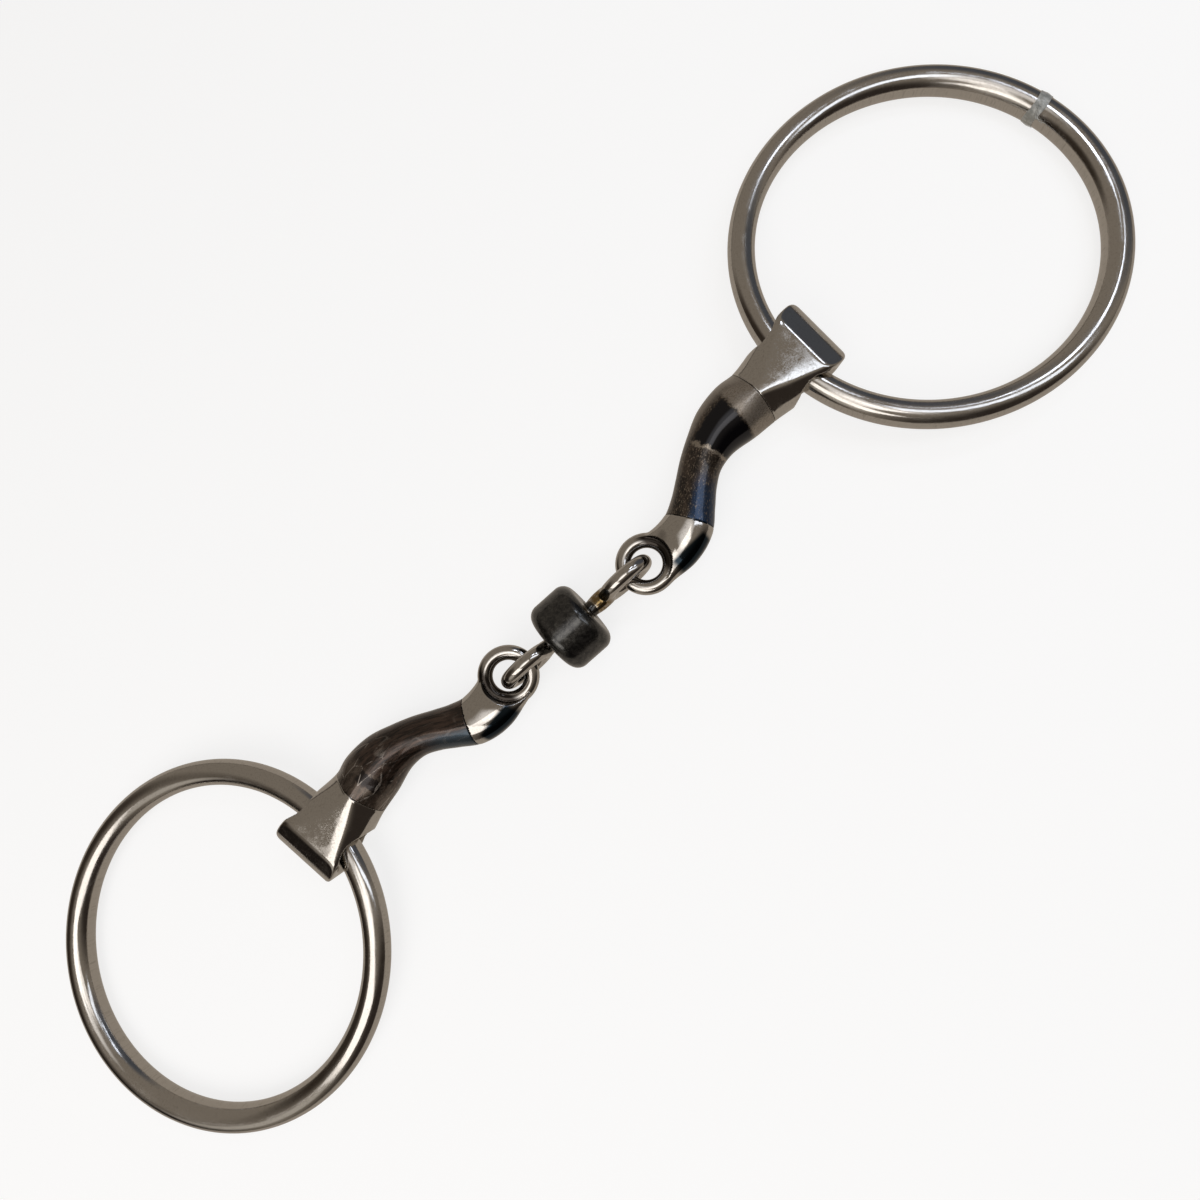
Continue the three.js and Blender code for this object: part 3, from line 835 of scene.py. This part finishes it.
def film_material():
    """Thin clear plastic, slightly grey."""
    material, inputs, n = new_material("clear_film", 0.0, Roughness=0.12, Alpha=0.62, Coat_Weight=0.4)
    crease = n.noise(n.place((1, 0.3, 1)), 1.6, 4.0, 0.6, 0.4)
    n.feed(inputs["Base Color"], n.mix(n.between(crease, 0.4, 0.65), (0.50, 0.52, 0.50), (0.86, 0.88, 0.86)))
    n.feed(inputs["Normal"], n.bump(crease, 0.5, 0.12))
    return material


# --- the stage ------------------------------------------------------------------------------

def seen(red, green, blue):
    """Linear light that polished steel shows as this 0-255 colour."""
    shown = [c / 255 for c in (red, green, blue)]
    linear = [c / 12.92 if c < 0.04045 else ((c + 0.055) / 1.055) ** 2.4 for c in shown]
    return tuple(c / s for c, s in zip(linear, STEEL))


def direction(azimuth, polar):
    a = math.radians(azimuth)
    p = math.radians(polar)
    return (math.sin(p) * math.cos(a), math.sin(p) * math.sin(a), math.cos(p))


# Soft areas of the surroundings: azimuth, angle from the zenith, inner and outer size in degrees, colour
SKY = (107, 98, 87)
SKY_PATCHES = (
    (268, 88, 26, 62, (40, 34, 29)),
    (150, 76, 14, 42, (42, 35, 28)),
    (8, 76, 14, 40, (62, 63, 66)),
    (178, 92, 12, 30, (24, 20, 17)),
    (198, 60, 6, 20, (150, 142, 131)),
    (250, 6, 6, 20, (205, 198, 190)),
)
PALE = (0.955, 0.955, 0.955)


def camera_sees(n, for_camera, for_others):
    """One shader for what the camera sees straight on, and another for what reaches the steel."""
    node = n.add("MixShader")
    n.feed(node.inputs[0], n.add("LightPath").outputs["Is Camera Ray"])
    n.feed(node.inputs[1], for_others)
    n.feed(node.inputs[2], for_camera)
    return node.outputs[0]


def make_world():
    """A dim room for the steel to reflect, and a plain pale backdrop for the camera."""
    world = bpy.data.worlds.new("room")
    bpy.context.scene.world = world
    world.use_nodes = True
    n = Nodes(world.node_tree)
    world.node_tree.nodes.clear()
    facing = n.add("TexCoord").outputs["Generated"]
    colour = seen(*SKY)
    for azimuth, polar, inner, outer, shade in SKY_PATCHES:
        dot = n.add("VectorMath", operation="DOT_PRODUCT")
        n.feed(dot.inputs[0], facing)
        dot.inputs[1].default_value = direction(azimuth, polar)
        weight = n.between(dot.outputs["Value"], math.cos(math.radians(outer)), math.cos(math.radians(inner)))
        colour = n.mix(weight, colour, seen(*shade))
    room = n.feed_one("Background", colour).outputs[0]
    backdrop = n.feed_one("Background", (*PALE, 1)).outputs[0]
    n.feed(n.add("OutputWorld").inputs[0], camera_sees(n, backdrop, room))


# The floor's reflection darkens between these distances, in metres
FLOOR_FADE = (0.12, 0.32)
FLOOR_NEAR = (132, 122, 110)
FLOOR_FAR = (46, 40, 35)
FLOOR_HALF_SIZE = 3000.0
FLOOR_DROP = 0.02
PAPER = (0.3, 0.3, 0.3, 1)
PAPER_GLOW = (0.78, 0.78, 0.78, 1)


def floor_material():
    """Pale paper: bright to the camera, with soft contact shadows; a warm grey in the steel."""
    material = bpy.data.materials.new("pale_floor")
    material.use_nodes = True
    n = Nodes(material.node_tree)
    material.node_tree.nodes.clear()
    paper = n.feed_one("BsdfDiffuse", PAPER).outputs[0]
    glow = n.feed_one("Emission", PAPER_GLOW).outputs[0]
    lit = n.add("AddShader")
    n.feed(lit.inputs[0], paper)
    n.feed(lit.inputs[1], glow)
    reach = n.add("VectorMath", operation="LENGTH")
    n.feed(reach.inputs[0], n.add("TexCoord").outputs["Object"])
    shade = n.mix(n.between(reach.outputs["Value"], *FLOOR_FADE), seen(*FLOOR_NEAR), seen(*FLOOR_FAR))
    mirrored = n.feed_one("Emission", shade).outputs[0]
    n.feed(n.add("OutputMaterial").inputs[0], camera_sees(n, lit.outputs[0], mirrored))
    return material


def make_floor():
    half = FLOOR_HALF_SIZE
    points = np.array([(-half, -half, 0), (half, -half, 0), (half, half, 0), (-half, half, 0)])
    mesh = bpy.data.meshes.new("floor")
    mesh.from_pydata((points * MM).tolist(), [], [(0, 1, 2, 3)])
    floor = bpy.data.objects.new("floor", mesh)
    bpy.context.scene.collection.objects.link(floor)
    floor.location.z = -FLOOR_DROP * MM
    mesh.materials.append(floor_material())


# Lamps over the table: place in millimetres, width, depth, turn in degrees, shown colour, strength over it
LAMPS = (
    ((-320, -185, 400), 300, 390, 0, (244, 236, 227), 1.1),
    ((-50, -95, 400), 260, 130, 0, (225, 218, 210), 0.85),
    ((232, 72, 322), 80, 42, 0, (235, 242, 255), 3.0),
    ((318, -205, 400), 430, 120, -45, (228, 234, 243), 1.05),
    ((425, -15, 400), 90, 110, 0, (235, 242, 255), 1.8),
)


def make_lamps():
    for number, (place, width, depth, turn, shade, strength) in enumerate(LAMPS):
        data = bpy.data.lights.new(f"lamp_{number}", "AREA")
        data.shape = "RECTANGLE"
        data.size = width * MM
        data.size_y = depth * MM
        light = np.array(seen(*shade)) * strength
        data.color = tuple(light / light.max())
        data.energy = float(light.max()) * math.pi * data.size * data.size_y
        lamp = bpy.data.objects.new(f"lamp_{number}", data)
        lamp.location = Vector(place) * MM
        lamp.rotation_euler.z = math.radians(turn)
        lamp.visible_camera = False
        bpy.context.scene.collection.objects.link(lamp)


CAMERA_LENS = 22.66
CAMERA_SENSOR = 36
CAMERA_PLACE = (13.8, -32.2, 152.9)
CAMERA_LOOK = (-0.0505, 0.1807, -0.9823)
CAMERA_UP = (0.7037, 0.7044, 0.0934)
CAMERA_RANGE = (0.005, 20)


def camera():
    data = bpy.data.cameras.new("camera")
    data.lens = CAMERA_LENS
    data.sensor_width = CAMERA_SENSOR
    made = bpy.data.objects.new("camera", data)
    bpy.context.scene.collection.objects.link(made)
    look = Vector(CAMERA_LOOK).normalized()
    up = Vector(CAMERA_UP).normalized()
    right = look.cross(up).normalized()
    up = right.cross(look)
    turn = Matrix((right, up, -look)).transposed()
    made.matrix_world = Matrix.Translation(Vector(CAMERA_PLACE) * MM) @ turn.to_4x4()
    data.clip_start, data.clip_end = CAMERA_RANGE
    bpy.context.scene.camera = made
    return made


def build(piece, material, body, node):
    """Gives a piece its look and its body. A node is the CAD solid it stands for."""
    piece.data.materials.append(material)
    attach(piece, body)
    if node:
        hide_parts(node)


camera()
make_world()
make_floor()
make_lamps()
ring_steel = ring_material()
bar_steel = bar_material()
sleeve_looks = {"left": left_sleeve_material(), "right": right_sleeve_material()}
for name in SIDES:
    build(make_ring(name), ring_steel, name + "_ring", name + "_ring")
    build(make_bar(name), bar_steel, name + "_bar", name + "_bar")
    build(make_sleeve(name), sleeve_looks[name], name + "_bar", name + "_sleeve")
build(make_link(), link_material(), "link", "centre_link")
build(make_roller(), roller_material(), "roller", "roller")
build(make_film(), film_material(), "right_ring", None)
bpy.context.scene.view_settings.view_transform = "Standard"
